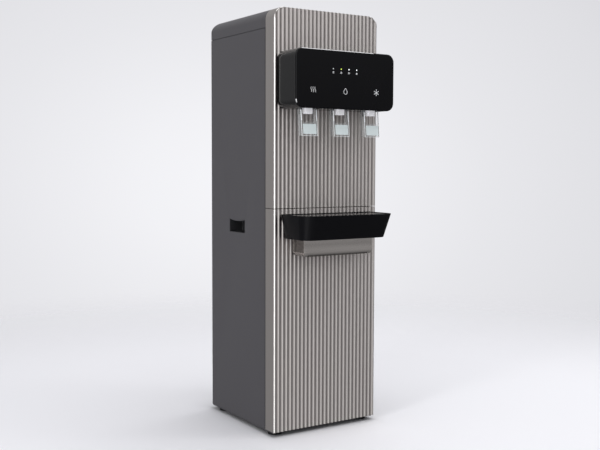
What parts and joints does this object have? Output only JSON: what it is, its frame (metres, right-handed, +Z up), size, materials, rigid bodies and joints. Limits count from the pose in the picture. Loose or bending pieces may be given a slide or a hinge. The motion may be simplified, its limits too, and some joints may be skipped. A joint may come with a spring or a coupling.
{
  "type": "reverse osmosis water dispenser",
  "caption": "Slim floor-standing water dispenser with a fluted metal front, a black tap head with clear push levers for hot, ambient and cold water, a drip tray and a filter door.",
  "frame": {"origin": "on the floor, at the middle in plan of the whole dispenser with its drip tray and rear screw heads", "axes": "+X to the right of the front, +Y to the back, +Z up; the fluted front faces -Y"},
  "size_m": [0.31, 0.4448, 1.057],
  "materials": {
    "champagne_metal": "satin metallic paint",
    "bracket_metal": "satin metallic paint",
    "dark_grey_steel": "satin powder coat",
    "gloss_black": "high gloss",
    "matte_black": "fine texture",
    "white_plastic": "gloss",
    "clear_plastic": "clear",
    "lens": "clear light pipe",
    "galvanised_steel": "dull zinc",
    "stainless_steel": "satin",
    "pin_steel": "polished",
    "black_rubber": "matt",
    "black_steel": "gloss enamel",
    "copper": "bright",
    "foam": "closed-cell foam",
    "filter_white": "gloss",
    "tank_blue": "gloss paint",
    "circuit_green": "solder mask",
    "tube_white": "semi-gloss",
    "magnet": "sintered",
    "switch_red": "gloss",
    "switch_green": "gloss"
  },
  "bodies": {
    "cabinet": {"base_pan": "galvanised_steel", "levelling_feet": "black_rubber", "left_side_panel": "dark_grey_steel", "right_side_panel": "dark_grey_steel", "left_grip_cup": "matte_black", "right_grip_cup": "matte_black", "rear_panel": "galvanised_steel", "top_cover": "dark_grey_steel", "upper_front_panel": "champagne_metal", "left_post": "galvanised_steel", "right_post": "galvanised_steel", "mid_deck": "galvanised_steel", "upper_hinge_plate": "galvanised_steel", "hinge_pins": "pin_steel", "door_magnets": "magnet", "head_housing": "gloss_black", "head_face": "gloss_black", "indicator_lenses": "lens", "display_board": "circuit_green", "dispense_valves": "white_plastic", "lever_pins": "pin_steel", "lever_springs": "stainless_steel", "lever_switches": "matte_black", "nozzle_hot": "white_plastic", "nozzle_ambient": "white_plastic", "nozzle_cold": "white_plastic", "compressor": "black_steel", "compressor_mounts": "black_rubber", "condenser_tube": "black_steel", "condenser_wires": "black_steel", "booster_pump": "matte_black", "storage_tank": "tank_blue", "filter_manifold": "white_plastic", "hot_tank": "stainless_steel", "hot_tank_jacket": "foam", "cold_tank": "stainless_steel", "evaporator_coil": "copper", "cold_tank_insulation": "foam", "power_board": "circuit_green", "power_inlet": "matte_black", "inlet_fitting": "white_plastic", "drain_fitting": "white_plastic", "drain_caps": "matte_black", "tap_tubes": "tube_white", "feed_tubes": "tube_white", "panel_screws": "pin_steel"},
    "door": {"lower_front_door": "champagne_metal", "tray_bracket": "bracket_metal"},
    "drip_tray": {"drip_tray": "gloss_black"},
    "drip_grille": {"drip_grille": "gloss_black"},
    "lever_hot": {"lever_hot": "clear_plastic"},
    "lever_ambient": {"lever_ambient": "clear_plastic"},
    "lever_cold": {"lever_cold": "clear_plastic"},
    "hot_switch": {"hot_switch": "switch_red"},
    "cold_switch": {"cold_switch": "switch_green"},
    "sediment_filter": {"sediment_filter": "filter_white"},
    "carbon_filter": {"carbon_filter": "filter_white"},
    "membrane_filter": {"membrane_filter": "filter_white"},
    "polishing_filter": {"polishing_filter": "filter_white"}
  },
  "joints": [
    {"name": "door_hinge", "type": "hinge", "parent": "cabinet", "child": "door", "pos_m": [0.1505, -0.0734, 0.3], "axis": [0, 0, 1], "range_deg": [0, 95]},
    {"name": "tray_slide", "type": "slide", "parent": "door", "child": "drip_tray", "axis": [0, -1, 0], "range_m": [0, 0.13]},
    {"name": "grille_lift", "type": "slide", "parent": "drip_tray", "child": "drip_grille", "axis": [0, 0, 1], "range_m": [0, 0.06]},
    {"name": "lever_hot_push", "type": "hinge", "parent": "cabinet", "child": "lever_hot", "pos_m": [-0.094, -0.1519, 0.819], "axis": [1, 0, 0], "range_deg": [0, 10], "stiffness_Nm_per_rad": 0.25, "springref_deg": -8.59},
    {"name": "lever_ambient_push", "type": "hinge", "parent": "cabinet", "child": "lever_ambient", "pos_m": [0, -0.1519, 0.819], "axis": [1, 0, 0], "range_deg": [0, 10], "stiffness_Nm_per_rad": 0.25, "springref_deg": -8.59},
    {"name": "lever_cold_push", "type": "hinge", "parent": "cabinet", "child": "lever_cold", "pos_m": [0.094, -0.1519, 0.819], "axis": [1, 0, 0], "range_deg": [0, 10], "stiffness_Nm_per_rad": 0.25, "springref_deg": -8.59},
    {"name": "hot_switch_rock", "type": "hinge", "parent": "cabinet", "child": "hot_switch", "pos_m": [0.1, 0.1921, 0.077], "axis": [1, 0, 0], "range_deg": [0, 16]},
    {"name": "cold_switch_rock", "type": "hinge", "parent": "cabinet", "child": "cold_switch", "pos_m": [0.12, 0.1921, 0.077], "axis": [1, 0, 0], "range_deg": [0, 16]},
    {"name": "sediment_filter_twist", "type": "hinge", "parent": "cabinet", "child": "sediment_filter", "pos_m": [-0.09, -0.0274, 0.52], "axis": [0, 0, -1], "range_deg": [0, 90]},
    {"name": "carbon_filter_twist", "type": "hinge", "parent": "cabinet", "child": "carbon_filter", "pos_m": [-0.03, -0.0274, 0.52], "axis": [0, 0, -1], "range_deg": [0, 90]},
    {"name": "membrane_filter_twist", "type": "hinge", "parent": "cabinet", "child": "membrane_filter", "pos_m": [0.03, -0.0274, 0.52], "axis": [0, 0, -1], "range_deg": [0, 90]},
    {"name": "polishing_filter_twist", "type": "hinge", "parent": "cabinet", "child": "polishing_filter", "pos_m": [0.09, -0.0274, 0.52], "axis": [0, 0, -1], "range_deg": [0, 90]}
  ]
}
